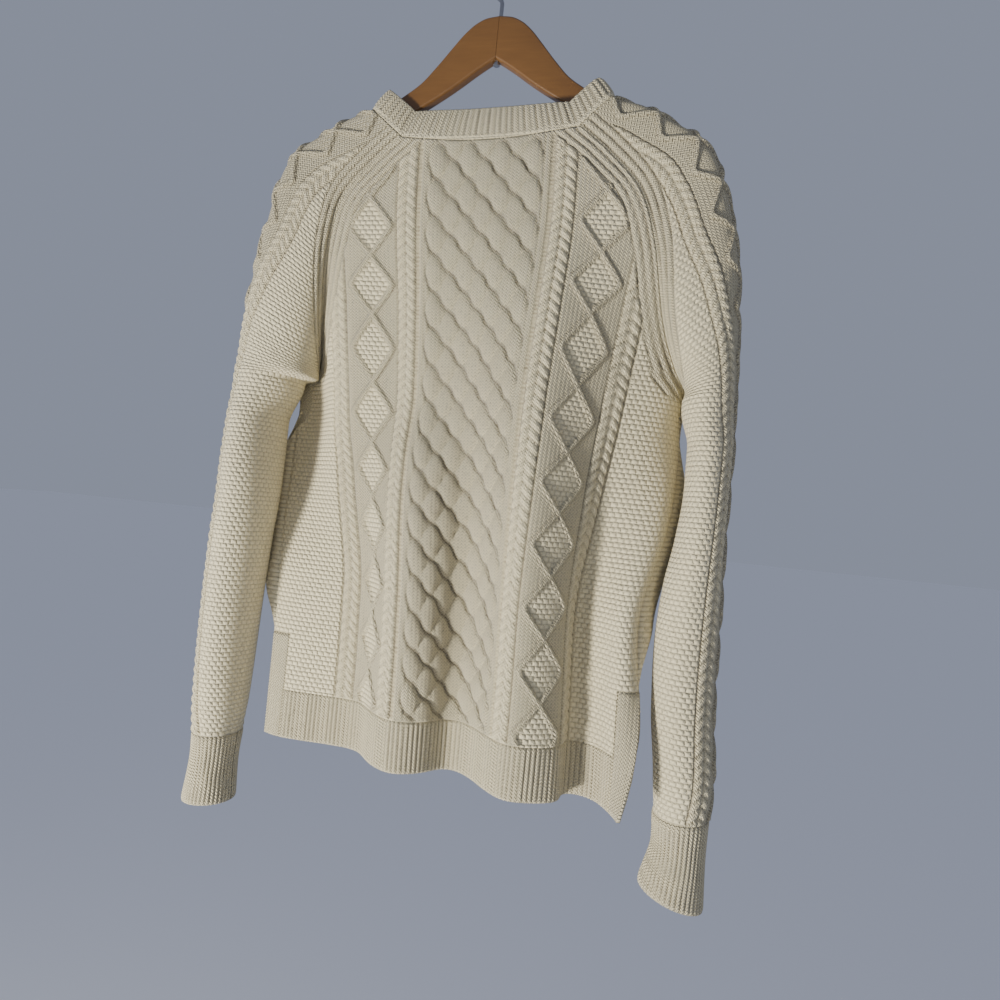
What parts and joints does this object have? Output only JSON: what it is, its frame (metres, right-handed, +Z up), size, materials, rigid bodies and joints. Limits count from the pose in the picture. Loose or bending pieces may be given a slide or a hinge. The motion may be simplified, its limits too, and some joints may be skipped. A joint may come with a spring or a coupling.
{
  "type": "cable knit sweater on hanger",
  "caption": "Crew neck pullover with raglan sleeves, knitted cable, lattice and diamond bands, ribbed hems and side vents, hanging on a flat wooden hanger with a wire hook.",
  "frame": {"origin": "inside top of the hook, where it bears on the rail", "axes": "+Z up; +X along the hanger towards the wearer's right sleeve seen from behind; the back of the garment faces -Y"},
  "size_m": [0.531, 0.1359, 0.8961],
  "materials": {
    "knit": "matt cream knit",
    "wood": "satin varnished, honey brown",
    "wire": "dull plated wire"
  },
  "bodies": {
    "root": {"back_panel": "knit", "front_panel": "knit", "back_hem_rib": "knit", "front_hem_rib": "knit", "back_vent_band_left": "knit", "back_vent_band_right": "knit", "front_vent_band_left": "knit", "front_vent_band_right": "knit", "left_sleeve": "knit", "right_sleeve": "knit", "left_cuff": "knit", "right_cuff": "knit", "neckband": "knit", "hanger_left_half": "wood", "hanger_right_half": "wood", "hook": "wire"}
  },
  "joints": []
}
